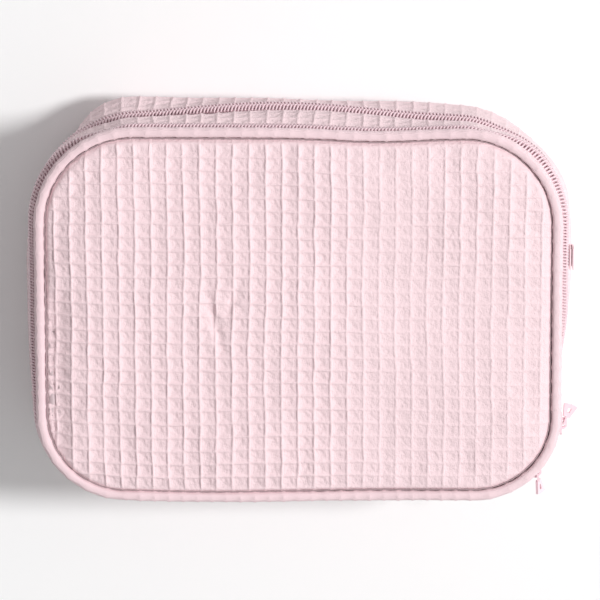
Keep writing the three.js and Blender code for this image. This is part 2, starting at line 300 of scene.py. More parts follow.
def mesh_object(name, points, faces, uv=None, smooth_shaded=True):
    """A mesh object from millimetre points and faces; uv holds one pair per point."""
    mesh = bpy.data.meshes.new(name)
    mesh.from_pydata((np.asarray(points) * MM).tolist(), [], [list(map(int, f)) for f in faces])
    if uv is not None:
        layer = mesh.uv_layers.new(name="weave")
        corners = np.zeros(len(mesh.loops), np.int32)
        mesh.loops.foreach_get("vertex_index", corners)
        layer.data.foreach_set("uv", np.asarray(uv, np.float32)[corners].ravel())
    mesh.polygons.foreach_set("use_smooth", [smooth_shaded] * len(mesh.polygons))
    mesh.validate()
    mesh.update()
    obj = bpy.data.objects.new(name, mesh)
    bpy.context.scene.collection.objects.link(obj)
    return obj


def grid_faces(rows, cols, start=0, around=False):
    """Quads of a grid of points stored row by row. around closes each row on itself."""
    i, j = np.meshgrid(
        np.arange(rows - 1), np.arange(cols if around else cols - 1), indexing="ij"
    )
    i, j = i.ravel(), j.ravel()
    k = (j + 1) % cols
    return start + np.stack(
        [i * cols + j, i * cols + k, (i + 1) * cols + k, (i + 1) * cols + j], axis=1
    )


def tube_rings(rings, closed):
    """Points and faces of a tube: rings is (steps, sides, 3). An open tube gets flat ends."""
    steps, sides, _ = rings.shape
    faces = [tuple(f) for f in grid_faces(steps, sides, around=True)]
    if closed:
        last = (steps - 1) * sides
        for j in range(sides):
            k = (j + 1) % sides
            faces.append((last + j, last + k, k, j))
    else:
        faces.append(tuple(range(sides))[::-1])
        faces.append(tuple((steps - 1) * sides + j for j in range(sides)))
    return rings.reshape(-1, 3), faces


def thicken(obj, thickness, offset=-1.0):
    """Gives a sheet its thickness, inwards unless offset is 0."""
    solid = obj.modifiers.new("thickness", "SOLIDIFY")
    solid.thickness = thickness * MM
    solid.offset = offset
    solid.use_even_offset = False
    return obj


def finish_mesh(obj):
    """Applies the modifiers, so that the piece's final mesh is its own."""
    bpy.context.view_layer.update()
    graph = bpy.context.evaluated_depsgraph_get()
    made = bpy.data.meshes.new_from_object(obj.evaluated_get(graph))
    obj.modifiers.clear()
    obj.data = made
    return obj


def piece(obj, material, body, slot, *replaced):
    """Finishes a piece: its material, the body it rides on, unless body is None, and the CAD nodes
    that it stands for. slot is not used."""
    obj.data.materials.clear()
    obj.data.materials.append(material)
    if body is not None:
        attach(obj, body)
    if replaced:
        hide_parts(*replaced)
    return obj


# ---------------------------------------------------------------- materials


class Nodes:
    """A small helper for building a material's node tree."""

    def __init__(self, name, color, roughness, **constants):
        self.material = bpy.data.materials.new(name)
        self.material.use_nodes = True
        self.tree = self.material.node_tree
        self.shader = self.tree.nodes["Principled BSDF"]
        self.shader.inputs["Base Color"].default_value = (*color, 1)
        self.shader.inputs["Roughness"].default_value = roughness
        for key, value in constants.items():
            self.shader.inputs[key.replace("_", " ")].default_value = value

    def node(self, kind, **settings):
        """Adds a node; settings are its attributes or its inputs' values."""
        made = self.tree.nodes.new(kind)
        for key, value in settings.items():
            if hasattr(made, key):
                setattr(made, key, value)
            else:
                made.inputs[key.replace("_", " ")].default_value = value
        return made

    def link(self, source, target):
        self.tree.links.new(source, target)

    def math(self, operation, first, second=None):
        """A math node of sockets or numbers."""
        made = self.node("ShaderNodeMath", operation=operation)
        for socket, value in zip(made.inputs, (first, second)):
            if value is None:
                continue
            if hasattr(value, "node"):
                self.link(value, socket)
            else:
                socket.default_value = value
        return made.outputs[0]

    def coordinates(self):
        """The place on the piece."""
        return self.node("ShaderNodeTexCoord").outputs["Object"]

    def noise(self, scale, detail=3.0):
        made = self.node("ShaderNodeTexNoise", Scale=scale, Detail=detail)
        self.link(self.coordinates(), made.inputs["Vector"])
        return made.outputs["Fac"]

    def ramp(self, factor, stops):
        """A colour that follows factor through stops of position and colour."""
        made = self.node("ShaderNodeValToRGB")
        ramp = made.color_ramp
        while len(ramp.elements) < len(stops):
            ramp.elements.new(0.5)
        for element, (position, color) in zip(ramp.elements, stops):
            element.position = position
            element.color = (*color, 1)
        self.link(factor, made.inputs["Fac"])
        return made.outputs["Color"]

    def bump(self, height, distance, strength=1.0):
        made = self.node("ShaderNodeBump", Distance=distance, Strength=strength)
        self.link(height, made.inputs["Height"])
        return made.outputs["Normal"]


def shade(color, factor):
    """A lighter or darker colour."""
    return tuple(min(1.0, c * factor) for c in color)


PINK = (0.935, 0.722, 0.755)
PIPING_PINK = (0.925, 0.700, 0.738)
# Painted shade: the tape colour is darker than the cloth's pink, standing in for the shade on the
# tape under and between the coil's teeth.
SHADED_TAPE_PINK = (0.700, 0.470, 0.520)
COIL_PINK = (0.860, 0.640, 0.690)
LINING_PINK = (0.930, 0.760, 0.790)
METAL_PINK = (0.900, 0.640, 0.700)


def woven_material(name, color, threads_per_m, depth, sheen=0.25):
    """Cloth with a plain weave of fine threads, slight colour variation and a soft sheen."""
    n = Nodes(name, color, 0.9, Sheen_Weight=sheen, Sheen_Roughness=0.5)
    where = n.coordinates()
    split = n.node("ShaderNodeSeparateXYZ")
    n.link(where, split.inputs[0])
    turns = 2 * math.pi * threads_per_m
    waves = [n.math("SINE", n.math("MULTIPLY", split.outputs[i], turns)) for i in range(3)]
    weave = n.math("ADD", n.math("MULTIPLY", waves[0], waves[1]), waves[2])
    fuzz = n.noise(threads_per_m * 1.3, 2.0)
    height = n.math("ADD", n.math("MULTIPLY", weave, 0.35), fuzz)
    n.link(n.bump(height, depth * MM), n.shader.inputs["Normal"])
    patches = n.noise(18.0, 4.0)
    mottled = n.ramp(patches, [(0.3, shade(color, 0.965)), (0.7, shade(color, 1.02))])
    n.link(mottled, n.shader.inputs["Base Color"])
    return n.material


def waffle_material():
    """Soft cotton: threads run alongside the nearest ridge of each cell, so each facet of a cell
    is stepped like the floats of the weave. Its base colour is darker towards the bottom of each
    cell, as painted shade in the pits."""
    n = Nodes("waffle_cotton", PINK, 0.92, Sheen_Weight=0.14, Sheen_Roughness=0.45)
    split = n.node("ShaderNodeSeparateXYZ")
    cell = n.node("ShaderNodeUVMap", uv_map="weave")
    n.link(cell.outputs[0], split.inputs[0])
    halves = []
    for i in range(2):
        fraction = n.math("FRACT", split.outputs[i])
        halves.append(n.math("ABSOLUTE", n.math("SUBTRACT", fraction, 0.5)))
    nearest = n.math("MAXIMUM", halves[0], halves[1])
    floats = n.math("SINE", n.math("MULTIPLY", nearest, 2 * math.pi * 10))
    fuzz = n.noise(2400.0, 3.0)
    lumps = n.noise(620.0, 3.0)
    height = n.math("ADD", n.math("MULTIPLY", floats, 0.1), n.math("MULTIPLY", fuzz, 0.9))
    height = n.math("ADD", height, n.math("MULTIPLY", lumps, 2.4))
    n.link(n.bump(height, 0.26 * MM, 0.9), n.shader.inputs["Normal"])
    # Painted shade: the colour darkens towards the bottom of each cell, standing in for the shade
    # in the pits.
    depth = n.ramp(nearest, [(0.05, shade(PINK, 0.95)), (0.46, PINK)])
    patches = n.ramp(n.noise(14.0, 4.0), [(0.3, (0.975,) * 3), (0.7, (1.0,) * 3)])
    mix = n.node("ShaderNodeMix", data_type="RGBA", blend_type="MULTIPLY")
    mix.inputs["Factor"].default_value = 1.0
    n.link(depth, mix.inputs["A"])
    n.link(patches, mix.inputs["B"])
    n.link(mix.outputs["Result"], n.shader.inputs["Base Color"])
    return n.material


def coil_material():
    """Dyed nylon: satin, with a slightly uneven dye."""
    n = Nodes("zip_coil", COIL_PINK, 0.38, Coat_Weight=0.15)
    tone = n.ramp(n.noise(900.0), [(0.3, shade(COIL_PINK, 0.9)), (0.7, shade(COIL_PINK, 1.05))])
    n.link(tone, n.shader.inputs["Base Color"])
    return n.material


def paint_material():
    """Satin enamel over cast zinc, with the faint orange peel of sprayed paint."""
    n = Nodes("painted_zinc", METAL_PINK, 0.3, Coat_Weight=0.5, Coat_Roughness=0.15)
    n.link(n.bump(n.noise(900.0, 2.0), 0.03 * MM), n.shader.inputs["Normal"])
    rough = n.node("ShaderNodeMapRange", **{"To Min": 0.24, "To Max": 0.42})
    n.link(n.noise(250.0), rough.inputs["Value"])
    n.link(rough.outputs[0], n.shader.inputs["Roughness"])
    return n.material


waffle_cotton = waffle_material()
piping_cotton = woven_material("piping_cotton", PIPING_PINK, 1400, 0.18)
lining_cloth = woven_material("lining_cloth", LINING_PINK, 2200, 0.06, sheen=0.15)
# The binding and the zip tape take the darker tape colour, which is painted shade on the tape.
binding_cloth = woven_material("binding_tape", SHADED_TAPE_PINK, 1300, 0.15)
tape_cloth = woven_material("zip_tape", SHADED_TAPE_PINK, 1700, 0.14)
foam_material = woven_material("foam_sheet", (0.93, 0.91, 0.86), 900, 0.3, sheen=0.0)
# Painted shade: the seam thread's dark colour stands in for the shade at the bottom of the groove
# between a panel and its piping.
painted_shade_thread_material = woven_material("seam_thread_painted_shade", (0.42, 0.31, 0.33), 1800, 0.1, sheen=0.0)
coil_nylon = coil_material()
painted_zinc = paint_material()


# ---------------------------------------------------------------- waffle cloth


def cell_chance(a, b, seed):
    """A value from 0 to 1 that differs from cell to cell."""
    i, j = np.floor(a).astype(int), np.floor(b).astype(int)
    mixed = np.sin(i * 127.1 + j * 311.7 + seed * 74.7) * 43758.5453
    return mixed - np.floor(mixed)


def waffle_height(a, b):
    """The weave's height, from 0 at the bottom of a cell to 1 on its ridges. a and b count
    cells along the cloth. A cell falls gently from its left and lower ridges and steeply from
    the others. It has a low step across its middle, where the long floats of the weave end, and a
    small fold that runs into the step."""
    fa, fb = np.mod(a, 1), np.mod(b, 1)
    left = np.clip((DEEPEST_A - fa) / DEEPEST_A, 0, 1)
    right = np.clip((fa - DEEPEST_A) / (1 - DEEPEST_A), 0, 1)
    low = np.clip((DEEPEST_B - fb) / DEEPEST_B, 0, 1)
    high = np.clip((fb - DEEPEST_B) / (1 - DEEPEST_B), 0, 1)
    from_left = 0.50 * left + 0.50 * left**5
    from_low = 0.40 * low + 0.57 * low**5
    from_top = 0.95 * smooth(high, 0.55, 1.0)
    turn = cell_chance(a, b, 17) - 0.5
    across = fa + (0.5 + 0.5 * turn) * (fb - 0.5) + 0.1 * turn
    step = 0.36 * smooth(across, DEEPEST_A, DEEPEST_A + 0.08)
    from_right = np.minimum(step + 0.66 * smooth(right, 0.68, 1.0), 1.0)
    highest = np.maximum(np.maximum(from_left, from_low), np.maximum(from_top, from_right))
    fold = hump(fa - 0.8 * (fb - 0.3), 0.36, 0.06) * hump(fb, 0.3, 0.16)
    return highest - 0.16 * (1 - turn) * fold


def cell_samples(count, fractions):
    """Places along the cloth for count cells either side of 0, closer where a cell is steep."""
    cells = np.arange(-count, count)[:, None]
    return np.append((cells + np.array(fractions)).ravel(), count)


def cell_amount(a, b, seed):
    """How deep each cell is, which differs a little from cell to cell."""
    return 0.82 + 0.3 * cell_chance(a, b, seed)


def inside_distance(outline, x, y):
    """How far points are inside an outline, negative outside it."""
    distance = np.minimum(outline["half_x"] - np.abs(x), outline["half_y"] - np.abs(y))
    for radius, half in ((outline["bottom"], y < 0), (outline["top"], y >= 0)):
        past_x = np.abs(x) - (outline["half_x"] - radius)
        past_y = np.abs(y) - (outline["half_y"] - radius)
        corner = half & (past_x > 0) & (past_y > 0)
        distance = np.where(corner, radius - np.hypot(past_x, past_y), distance)
    return distance


BLOWN_SPACING = 6.0  # the simulated cloth's grid
BLOWN_FRAMES = 20
BLOWN_PRESSURE = 4.0


def blown_up(outline):
    """Heights, on a regular grid, of a slack cloth that is sewn down round the outline and blown
    up by a cloth simulation."""
    nx = math.ceil(outline["half_x"] / BLOWN_SPACING) + 2
    ny = math.ceil(outline["half_y"] / BLOWN_SPACING) + 2
    x, y = np.meshgrid(np.arange(-nx, nx + 1), np.arange(-ny, ny + 1))
    x, y = x * BLOWN_SPACING, y * BLOWN_SPACING
    points = np.stack([x, y, 0.15 * ripple(x, y, 40, 81)], axis=-1).reshape(-1, 3)
    trial = mesh_object("cloth_trial", points, grid_faces(*x.shape))
    sewn = trial.vertex_groups.new(name="sewn")
    held = np.flatnonzero(inside_distance(outline, x, y).ravel() < BLOWN_SPACING / 2)
    sewn.add(held.tolist(), 1.0, "REPLACE")
    settings = trial.modifiers.new("cloth", "CLOTH").settings
    settings.quality = 6
    settings.mass = 0.2
    settings.vertex_group_mass = "sewn"
    settings.shrink_min = -0.02
    settings.use_pressure = True
    settings.uniform_pressure_force = BLOWN_PRESSURE
    settings.effector_weights.gravity = 0.0
    scene = bpy.context.scene
    for number in range(1, BLOWN_FRAMES + 1):
        scene.frame_set(number)
    places = np.zeros(x.size * 3)
    graph = bpy.context.evaluated_depsgraph_get()
    trial.evaluated_get(graph).data.vertices.foreach_get("co", places)
    scene.frame_set(1)
    bpy.data.objects.remove(trial)
    return places[2::3].reshape(x.shape) / MM


def cubic_places(values, size):
    """Where values fall along a side of the simulated grid, size points long: the first of the
    four grid points about each, and the four's weights in a smooth curve through them."""
    place = np.clip(values / BLOWN_SPACING + (size - 1) / 2, 1, size - 2.001)
    base = np.floor(place).astype(int)
    f = place - base
    weights = (
        ((2 - f) * f - 1) * f / 2,
        ((3 * f - 5) * f * f + 2) / 2,
        ((4 - 3 * f) * f + 1) * f / 2,
        (f - 1) * f * f / 2,
    )
    return base - 1, weights


def sampled(grid, x, y):
    """A smooth surface through the simulated grid, which is centred on the origin, at x and y."""
    rows, cols = grid.shape
    first_row, row_weights = cubic_places(y, rows)
    first_col, col_weights = cubic_places(x, cols)
    total = 0.0
    for i, row_weight in enumerate(row_weights):
        for j, col_weight in enumerate(col_weights):
            row = np.clip(first_row + i, 0, rows - 1)
            col = np.clip(first_col + j, 0, cols - 1)
            total = total + row_weight * col_weight * grid[row, col]
    return total


def crowned(outline, crown, inside, x, y):
    """The height of a padded panel's crown."""
    rounded = 1 - np.exp(-np.clip(inside - 2.0, 0, None) / 17.0)
    grid = blown_up(outline)
    blown = sampled(grid / np.percentile(grid, 90), x, y)
    return crown * (0.35 * rounded + 0.65 * np.tanh(1.6 * np.clip(blown, 0, None)))


def shell_faces(quads, count):
    """Faces of a closed shell: a sheet of quads, the same sheet count points further on, facing
    the other way, and a wall between their rims."""
    edges = np.concatenate([quads[:, [i, (i + 1) % 4]] for i in range(4)])
    keys = np.sort(edges, axis=1)
    _, first, times = np.unique(keys, axis=0, return_index=True, return_counts=True)
    rim = edges[first[times == 1]]
    wall = np.stack([rim[:, 1], rim[:, 0], rim[:, 0] + count, rim[:, 1] + count], axis=1)
    return np.concatenate([quads, quads[:, ::-1] + count, wall])


def padded_panel(name, outline, seam_z, crown, up, thickness, detail):
    """A padded waffle panel that fills an outline and dives into its seam. up is 1 for the front
    panel and -1 for the back one; detail adds the dents of the real panel."""
    a = cell_samples(math.ceil(outline["half_x"] / CELL_X), ACROSS_CELL)[None, :]
    b = cell_samples(math.ceil(outline["half_y"] / CELL_Y), UP_CELL)[:, None]
    a, b = np.broadcast_arrays(a, b)
    x0, y0 = a * CELL_X, b * CELL_Y
    x = x0 + 0.6 * ripple(x0, y0, 70, 11) + 0.25 * ripple(x0, y0, 16, 12)
    y = y0 + 0.6 * ripple(x0, y0, 65, 13) + 0.2 * ripple(x0, y0, 15, 14)
    inside = inside_distance(outline, x, y)
    # The weave is worn flatter on the right, less so in the upper corner, and in the seam.
    worn = 1 - 0.5 * smooth(x, 12, 42) * (1 - 0.55 * smooth(y, 5, 55) * smooth(x, 50, 85))
    relief = RELIEF * worn * cell_amount(a, b, 5) * waffle_height(a, b)
    relief = relief * (0.45 + 0.55 * smooth(inside, 2.2, 9.0))
    dome = crowned(outline, crown, inside, x, y)
    dive = -5.2 * (1 - smooth(inside, 1.0, 5.8)) ** 1.5
    z = seam_z + up * (dome + dive + relief + detail(x, y, inside))
    outer = np.stack([x, y, z], axis=-1).reshape(-1, 3)
    inner = outer.copy()
    inner[:, 2] = np.minimum(outer[:, 2] * up, seam_z * up - thickness) * up
    quads = grid_faces(*a.shape)
    quads = quads[(inside > 0.2).ravel()[quads].all(axis=1)]
    used, index = np.unique(quads, return_inverse=True)
    faces = shell_faces(index.reshape(quads.shape), len(used))
    if up < 0:
        faces = faces[:, ::-1]
    points = np.concatenate([settle(outer)[used], settle(inner)[used]])
    uv = np.stack([a, b], axis=-1).reshape(-1, 2)[used]
    return mesh_object(name, points, faces, np.concatenate([uv, uv]))


def front_details(x, y, inside):
    """The dents and creases of the front panel."""
    dent_left = -3.0 * hump(x, -122, 7) * smooth(y, -90, -60) * (1 - smooth(y, -5, 20))
    crease = -1.9 * hump(x + 0.2 * y, -42, 2.6) * hump(y, -2, 13)
    second = -1.1 * hump(x - 0.3 * y, -35, 2.6) * hump(y, 8, 9)
    soft = 0.9 * ripple(x, y, 85, 21) + 0.3 * ripple(x, y, 33, 22)
    return (soft + crease + second) * smooth(inside, 3, 22) + dent_left * smooth(inside, 1, 6)


def plain_details(x, y, inside):
    """The slight unevenness of the back panel."""
    return 0.3 * ripple(x, y, 70, 23) * smooth(inside, 3, 20)


def bare_tape(t):
    """How much more of the rear zip's upper tape shows towards the top left."""
    point, outward = on_outline(REAR, t)
    return 3.2 * hump(point[..., 0], -62, 30) * np.clip(outward[..., 1], 0, 1)


def waffle_wall(name, t_range, z_range, fold_ends=(False, False), bare=False):
    """A waffle band round the walls. fold_ends says whether its lower and upper edges roll under,
    as they do beside a zip, and bare whether it leaves more of the rear zip's tape showing."""
    t0, t1 = t_range
    z0, z1 = z_range
    half_cells = round((t1 - t0) / CELL_X) / 2
    a = cell_samples(math.ceil(half_cells), ACROSS_CELL)
    a = a[np.abs(a) <= half_cells][None, :]
    t = (t0 + t1) / 2 + a * (t1 - t0) / 2 / np.abs(a).max()
    z0 = z0 + bare_tape(t) if bare else z0 + 0 * t
    rows = int(math.ceil((z1 - z0.min()) / CELL_Y * 9)) + 1
    z = z0 + (z1 - z0) * np.linspace(0, 1, rows)[:, None]
    t, z, a = np.broadcast_arrays(t, z, a)
    b = z / CELL_Y + 0.35
    low = smooth(z, z0, z0 + FOLD) if fold_ends[0] else np.ones_like(z)
    high = 1 - smooth(z, z1 - FOLD, z1) if fold_ends[1] else np.ones_like(z)
    edge = low * high
    worn = 1 - 0.55 * smooth(on_outline(REAR, t[0])[0][:, 0], 35, 90)
    relief = 0.75 * RELIEF * worn * cell_amount(a, b, 9) * waffle_height(a, b)
    relief = relief * (0.3 + 0.7 * edge)
    wander_t = 0.5 * ripple(t, z, 31, 31)
    u = relief - (1 - edge) ** 2 * 1.3
    points = wall_point(t + wander_t, z, u).reshape(-1, 3)
    uv = np.stack([a, b], axis=-1).reshape(-1, 2)
    obj = mesh_object(name, points, grid_faces(*t.shape)[:, ::-1], uv)
    finish_mesh(thicken(obj, CLOTH_THICKNESS))
    return obj


# ---------------------------------------------------------------- panels and walls


def add_panels():
    """The two padded panels, each of which stands for its cloth and its foam."""
    front = padded_panel(
        "front_panel_cloth",
        FRONT,
        seam_z=PIPING_Z + 1.6,
        crown=3.6,
        up=1,
        thickness=CLOTH_THICKNESS,
        detail=front_details,
    )
    piece(front, waffle_cotton, "front_cover", "waffle_cotton", "front_panel", "front_foam")
    back = padded_panel(
        "back_panel_cloth",
        REAR,
        seam_z=BACK_PIPING_Z,
        crown=0.9,
        up=-1,
        thickness=1.0,
        detail=plain_details,
    )
    piece(back, waffle_cotton, "rear_shell", "waffle_cotton", "back_panel", "back_foam")


def add_gussets():
    """The walls beside the zips, on three sides."""
    sides = (SIDE_START, SIDE_STOP)
    rear = waffle_wall(
        "rear_gusset_cloth", sides, (SEAM_Z, REAR_ZIP_Z - FABRIC_EDGE), fold_ends=(False, True)
    )
    piece(rear, waffle_cotton, "rear_shell", "waffle_cotton", "rear_gusset")
    between = (REAR_ZIP_Z + FABRIC_EDGE, FRONT_ZIP_Z - FABRIC_EDGE)
    middle = waffle_wall("middle_gusset_cloth", sides, between, fold_ends=(True, True), bare=True)
    piece(middle, waffle_cotton, "middle_section", "waffle_cotton", "middle_gusset")


def add_bottom_strips():
    """The strips along the bottom, which are the bag's two hinges."""
    bottom = (SIDE_STOP - HINGE_OVERLAP, AROUND + SIDE_START + HINGE_OVERLAP)
    rear = waffle_wall("rear_bottom_cloth", bottom, (SEAM_Z, HINGE_SPLIT_Z))
    piece(rear, waffle_cotton, None, "waffle_cotton", "rear_bottom_gusset")
    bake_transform(rear)
    middle = waffle_wall("middle_bottom_cloth", bottom, (HINGE_SPLIT_Z, PIPING_Z - 1.0))
    piece(middle, waffle_cotton, None, "waffle_cotton", "middle_bottom_gusset")
    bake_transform(middle)


# ---------------------------------------------------------------- piping


def piping_ring(name, outline, z):
    """The rolled edge: cloth over a cord, with the weave's cells pulled almost flat."""
    sides = 14
    cells = round(AROUND / CELL_X)
    steps = cells * 6
    t = np.arange(steps) * AROUND / steps
    point, outward = on_outline(outline, t)
    a = t / (AROUND / cells)
    angle = np.arange(sides) * 2 * math.pi / sides
    b = angle / (2 * math.pi) * 2.5
    faint = 0.45 * (waffle_height(a[:, None], b[None, :] + 0.1) - 0.8)
    radius = PIPING_RADIUS + faint + 0.12 * ripple(t, 0 * t, 21, 41)[:, None]
    wander = 0.35 * ripple(t, 0 * t, 70, 42)
    u = radius * np.cos(angle) + wander[:, None]
    v = radius * np.sin(angle)
    rings = np.zeros((steps, sides, 3))
    rings[..., :2] = point[:, None, :] + outward[:, None, :] * u[..., None]
    rings[..., 2] = z + v
    points, faces = tube_rings(settle(rings), closed=True)
    uv = np.stack(np.broadcast_arrays(a[:, None], b[None, :]), axis=-1).reshape(-1, 2)
    return mesh_object(name, points, [f[::-1] for f in faces], uv)


def seam_thread_painted_shade(name, outline, z):
    """The thread where a panel is sewn to its piping, coloured dark to paint the shade at the
    bottom of the seam groove.
    """
    radius = 0.4
    steps = int(AROUND / 1.6)
    t = np.arange(steps) * AROUND / steps
    point, outward = on_outline(outline, t)
    angle = np.arange(6) * math.pi / 3
    u = -PIPING_RADIUS - 0.35 + radius * np.cos(angle) + 0.15 * np.sin(t * 2.1)[:, None]
    rings = np.zeros((steps, 6, 3))
    rings[..., :2] = point[:, None, :] + outward[:, None, :] * u[..., None]
    rings[..., 2] = z + radius * np.sin(angle)
    points, faces = tube_rings(settle(rings), closed=True)
    return mesh_object(name, points, [f[::-1] for f in faces])


def add_piping():
    """The two rolled edges, each with its seam thread, whose dark colour paints the shade in the
    seam groove.
    """
    front = piping_ring("front_piping_roll", FRONT, PIPING_Z)
    piece(front, piping_cotton, "front_cover", "plain_cotton", "front_piping")
    back = piping_ring("back_piping_roll", REAR, BACK_PIPING_Z)
    piece(back, piping_cotton, "rear_shell", "plain_cotton", "back_piping")
    thread = seam_thread_painted_shade("front_seam_thread", FRONT, PIPING_Z + 0.1)
    piece(thread, painted_shade_thread_material, "front_cover", "binding_tape")
    thread = seam_thread_painted_shade("back_seam_thread", REAR, BACK_PIPING_Z - 0.1)
    piece(thread, painted_shade_thread_material, "rear_shell", "binding_tape")


# ---------------------------------------------------------------- zips


def zip_teeth(name, zip_z, side):
    """One side of a coil zip. Each turn of the coil lies across the chain and ends in a head
    that locks between the two heads opposite."""
    count = int((SIDE_STOP - SIDE_START) / COIL_PITCH)
    shift = 0.5 if side > 0 else 0.0
    t = SIDE_START + (np.arange(count) + 0.25 + shift) * COIL_PITCH
    # Along the turn: distance across the chain, height off the tape, half thickness and lean.
    path = [
        (CHAIN_HALF, -0.60, 0.34, -0.75),
        (CHAIN_HALF - 0.15, 0.30, 0.46, -0.65),
        (CHAIN_HALF * 0.52, 0.75, 0.50, -0.20),
        (0.3, 0.72, 0.54, 0.10),
        (-0.40, 0.35, 0.56, 0.10),
        (-0.70, -0.10, 0.34, 0.10),
    ]
    across, off, half, lean = np.array(path).T[:, :, None]
    angle = np.arange(6) * math.pi / 3
    points, faces = [], []
    for k, centre in enumerate(t):
        along = centre + lean + half * np.cos(angle)
        u = 0.3 + off + half * 0.85 * np.sin(angle)
        tooth, around = tube_rings(wall_point(along, zip_z + side * across, u), closed=False)
        if side > 0:
            around = [face[::-1] for face in around]
        points.append(tooth)
        faces.extend([tuple(i + k * len(tooth) for i in face) for face in around])
    return mesh_object(name, np.concatenate(points), faces)


def zip_tape(name, zip_z, side, far):
    """One zip tape: a woven strip from under the coil out to far, where it is sewn in."""
    rows, cols = 10, int((SIDE_STOP - SIDE_START) / 2.0)
    t = np.linspace(SIDE_START, SIDE_STOP, cols)[None, :]
    w = np.linspace(0.3, far, rows)[:, None]
    t, w = np.broadcast_arrays(t, w)
    z = zip_z + side * w
    u = -0.75 - 0.9 * smooth(w, CHAIN_HALF, far) + 0.12 * ripple(t, z, 24, 51)
    faces = grid_faces(rows, cols)[:, ::-side]
    obj = mesh_object(name, wall_point(t, z, u).reshape(-1, 3), faces)
    thicken(obj, 0.45)
    return finish_mesh(obj)


# Each half of a zip: name, height, which side of the chain, body and width of its tape.
ZIPS = (
    ("rear_zip_lower", REAR_ZIP_Z, -1, "rear_shell", TAPE_WIDTH),
    ("rear_zip_upper", REAR_ZIP_Z, 1, "middle_section", TAPE_WIDTH),
    ("front_zip_lower", FRONT_ZIP_Z, -1, "middle_section", TAPE_WIDTH),
    ("front_zip_upper", FRONT_ZIP_Z, 1, "front_cover", NARROW_TAPE_WIDTH),
)


def add_zips():
    """The teeth and the tape of each half of the two zips."""
    for name, zip_z, side, body, width in ZIPS:
        teeth = zip_teeth(name + "_teeth", zip_z, side)
        piece(teeth, coil_nylon, body, "zip_coil", name + "_coil")
        tape = zip_tape(name + "_woven_tape", zip_z, side, width)
        piece(tape, tape_cloth, body, "zip_tape", name + "_tape")


# ---------------------------------------------------------------- linings, divider and bindings


def lining_wall(name, z_range):
    """Smooth lining round the inside of the walls, with the slack of loose cloth."""
    z0, z1 = z_range
    rows = max(4, int((z1 - z0) / 2.0))
    cols = int(AROUND / 2.5)
    t = (np.arange(cols) * AROUND / cols)[None, :]
    z = np.linspace(z0, z1, rows)[:, None]
    t, z = np.broadcast_arrays(t, z)
    held = smooth(z, z0, z0 + 6) * (1 - smooth(z, z1 - 6, z1))
    slack = 0.5 * ripple(t, z * 2.5, 22, 61) + 0.25 * ripple(t, z, 8, 62)
    u = WALL_LINING_U + held * np.minimum(slack, 0.3)
    faces = grid_faces(rows, cols, around=True)[:, ::-1]
    obj = mesh_object(name, wall_point(t, z, u).reshape(-1, 3), faces)
    finish_mesh(thicken(obj, LINING_THICKNESS))
    return obj


def lining_panel(name, z, thickness, swell, seed):
    """A sheet across the bag at height z, with its middle swell higher than its rim."""
    rings = 30
    cols = int(AROUND / 4)
    t = np.arange(cols) * AROUND / cols
    rim = wall_point(t, z, PANEL_LINING_U)
    middle = np.array([0.0, 0.0, z])
    share = np.linspace(0.02, 1, rings)[:, None, None]
    points = middle + (rim - middle) * share
    x, y = points[..., 0], points[..., 1]
    held = 1 - share[..., 0] ** 6
    soft = swell * held + held * abs(swell) * 0.35 * ripple(x, y, 60, seed)
    soft = soft + 0.12 * held * ripple(x, y, 14, seed + 1)
    points[..., 2] = z + soft
    faces = [tuple(f) for f in grid_faces(rings, cols, around=True)]
    faces.append(tuple(range(cols))[::-1])
    obj = mesh_object(name, points.reshape(-1, 3), [f[::-1] for f in faces])
    finish_mesh(thicken(obj, thickness, offset=0.0))
    return obj


def binding_ring(name, z, u):
    """The tape folded over a raw seam: a flat tube with the dents of its stitches."""
    sides = 12
    cols = int(AROUND / 1.5)
    t = np.arange(cols) * AROUND / cols
    angle = np.arange(sides) * 2 * math.pi / sides
    dents = 1 + 0.06 * np.sin(t * 2 * math.pi / 3.0)[:, None]
    across = 1.25 * np.sign(np.cos(angle)) * np.abs(np.cos(angle)) ** 0.6
    tall = 0.85 * np.sign(np.sin(angle)) * np.abs(np.sin(angle)) ** 0.6
    rings = wall_point(t[:, None], z + tall * dents, u + across * dents)
    points, faces = tube_rings(rings, closed=True)
    return mesh_object(name, points, [f[::-1] for f in faces])


def add_linings():
    """The linings of the walls and panels, and the divider between the compartments."""
    rear = lining_wall("rear_wall_lining", (5.4, REAR_ZIP_Z - LINING_EDGE))
    piece(rear, lining_cloth, "rear_shell", "lining_cloth", "rear_gusset_lining")
    between = (REAR_ZIP_Z + LINING_EDGE, FRONT_ZIP_Z - LINING_EDGE)
    middle = lining_wall("middle_wall_lining", between)
    piece(middle, lining_cloth, "middle_section", "lining_cloth", "middle_gusset_lining")
    # Node, body, thickness, swell and the seed of its unevenness.
    panels = (
        ("back_lining", "rear_shell", LINING_THICKNESS, 0.5, 71),
        ("divider_rear_lining", "middle_section", LINING_THICKNESS, 0.0, 73),
        ("divider_board", "middle_section", DIVIDER_THICKNESS, 0.0, 73),
        ("divider_front_lining", "middle_section", LINING_THICKNESS, 0.0, 73),
        ("front_lining", "front_cover", LINING_THICKNESS, -0.4, 75),
    )
    for node, body, thickness, swell, seed in panels:
        sheet = lining_panel(node + "_cloth", middle_height(node), thickness, swell, seed)
        piece(sheet, lining_cloth, body, "lining_cloth", node)


def add_bindings():
    """The tapes over the raw seams inside, each at its distance from the seam outline."""
    bindings = (
        ("back_seam_binding", "rear_shell", -4.4),
        ("divider_seam_binding", "middle_section", -5.4),
        ("front_seam_binding", "front_cover", -5.4),
    )
    for node, body, u in bindings:
        ring = binding_ring(node + "_tape", middle_height(node), u)
        piece(ring, binding_cloth, body, "binding_tape", node)


# ---------------------------------------------------------------- sliders, pulls and side loop


